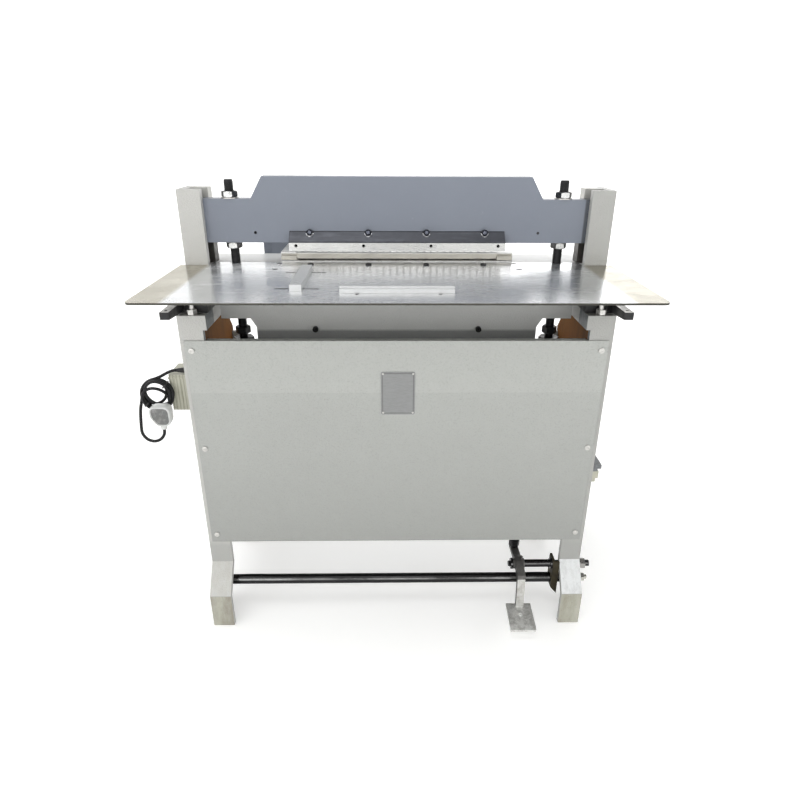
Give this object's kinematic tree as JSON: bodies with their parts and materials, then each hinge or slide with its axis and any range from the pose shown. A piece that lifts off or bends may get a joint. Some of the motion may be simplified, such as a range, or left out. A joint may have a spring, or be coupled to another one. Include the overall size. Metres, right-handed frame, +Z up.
{
  "type": "floor-standing paper punching machine",
  "caption": "Floor-standing paper punch with two side frames, a covered front, an upper beam pulled down by two rods, a punch and die set, a paper table and a foot pedal.",
  "frame": {"origin": "on the floor, in the middle of the feet's footprint", "axes": "+Z up, +Y to the back of the machine, +X to the operator's right"},
  "size_m": [1.0518, 0.586, 1.049],
  "materials": {
    "frame_paint": "textured light grey enamel",
    "beam_paint": "blue-grey enamel",
    "dark_steel": "blackened steel",
    "bright_steel": "ground",
    "zinc_steel": "zinc plated",
    "mirror_steel": "brushed, near mirror",
    "worn_steel": "worn",
    "guide_aluminium": "satin",
    "iron_casting": "painted dark",
    "motor_paint": "semi-gloss",
    "primer": "brown primer",
    "belt_rubber": "matt",
    "cord_rubber": "satin",
    "cream_plastic": "satin",
    "grey_plastic": "matt",
    "black_plastic": "matt",
    "plug_plastic": "satin",
    "button_plastic": "gloss"
  },
  "bodies": {
    "frame": {"left_side_frame": "frame_paint", "right_side_frame": "frame_paint", "front_cover": "frame_paint", "cover_screws": "zinc_steel", "bed": "frame_paint", "bed_bolts": "dark_steel", "rear_bracket": "beam_paint", "table": "mirror_steel", "table_screws": "dark_steel", "left_table_arm": "dark_steel", "right_table_arm": "dark_steel", "levelling_bolts": "zinc_steel", "guide_posts": "dark_steel", "die_plate": "bright_steel", "die_spacers": "bright_steel", "guide_plate": "bright_steel", "left_bearing": "iron_casting", "right_bearing": "iron_casting", "drive_shelf": "frame_paint", "motor": "motor_paint", "drive_belt": "belt_rubber", "tie_bar": "dark_steel", "pedal_bracket": "primer", "pedal_stud": "dark_steel", "trip_bracket": "dark_steel", "junction_box": "cream_plastic", "cord_gland": "black_plastic", "cord_lead": "cord_rubber", "cord_coil": "cord_rubber", "cord_tail": "cord_rubber", "mains_plug": "plug_plastic", "switch_box": "cream_plastic", "switch_hood": "grey_plastic"},
    "ram": {"upper_beam": "beam_paint", "punch_clamp": "dark_steel", "punch_bar": "bright_steel", "punches": "bright_steel", "clamp_screws": "dark_steel", "pull_rods": "dark_steel", "rod_nuts": "zinc_steel", "rod_couplings": "dark_steel", "left_yoke": "iron_casting", "right_yoke": "iron_casting"},
    "shaft": {"main_shaft": "bright_steel", "eccentrics": "worn_steel", "clutch_ring": "worn_steel"},
    "flywheel": {"flywheel": "iron_casting"},
    "motor_pulley": {"motor_pulley": "iron_casting"},
    "pedal": {"pedal_lever": "worn_steel", "pedal_pad": "worn_steel"},
    "link": {"link_rod": "dark_steel", "link_spring": "zinc_steel"},
    "trip": {"trip_lever": "worn_steel"},
    "side_guide": {"side_guide": "guide_aluminium", "guide_nuts": "dark_steel"},
    "lay_bar": {"lay_bar": "guide_aluminium", "lay_nuts": "dark_steel"},
    "push_button": {"push_button": "button_plastic"}
  },
  "joints": [
    {"name": "main_shaft_turn", "type": "hinge", "parent": "frame", "child": "shaft", "pos_m": [0, -0.027, 0.4], "axis": [1, 0, 0], "range_deg": [0, 180]},
    {"name": "beam_stroke", "type": "slide", "parent": "frame", "child": "ram", "axis": [0, 0, 1], "range_m": [-0.0065, 0]},
    {"name": "flywheel_turn", "type": "hinge", "parent": "frame", "child": "flywheel", "pos_m": [0.262, -0.027, 0.4], "axis": [1, 0, 0], "continuous": true},
    {"name": "motor_pulley_turn", "type": "hinge", "parent": "frame", "child": "motor_pulley", "pos_m": [0.262, 0.135, 0.338], "axis": [1, 0, 0], "continuous": true},
    {"name": "pedal_press", "type": "hinge", "parent": "frame", "child": "pedal", "pos_m": [0.306, -0.153, 0.1395], "axis": [1, 0, 0], "range_deg": [0, 8], "stiffness_Nm_per_rad": 20, "springref_deg": -6.88},
    {"name": "link_slide", "type": "slide", "parent": "frame", "child": "link", "axis": [0, 0, 1], "range_m": [0, 0.0087], "deforming": ["link_spring"]},
    {"name": "trip_lever_turn", "type": "hinge", "parent": "frame", "child": "trip", "pos_m": [0.306, -0.055, 0.346], "axis": [1, 0, 0], "range_deg": [-14, 0]},
    {"name": "side_guide_slide", "type": "slide", "parent": "frame", "child": "side_guide", "axis": [1, 0, 0], "range_m": [-0.036, 0.036]},
    {"name": "lay_bar_slide", "type": "slide", "parent": "frame", "child": "lay_bar", "axis": [0, 1, 0], "range_m": [-0.012, 0.006]},
    {"name": "start_button", "type": "slide", "parent": "frame", "child": "push_button", "axis": [1, 0, 0], "range_m": [-0.003, 0], "stiffness_N_per_m": 600, "springref_m": 0.002}
  ],
  "couplings": [
    {"joint": "main_shaft_turn", "follows": "beam_stroke", "rad_per_m": -483.3},
    {"joint": "motor_pulley_turn", "follows": "flywheel_turn", "ratio": 3.4843},
    {"joint": "link_slide", "follows": "pedal_press", "m_per_rad": 0.0618},
    {"joint": "trip_lever_turn", "follows": "pedal_press", "ratio": -1.7335}
  ]
}
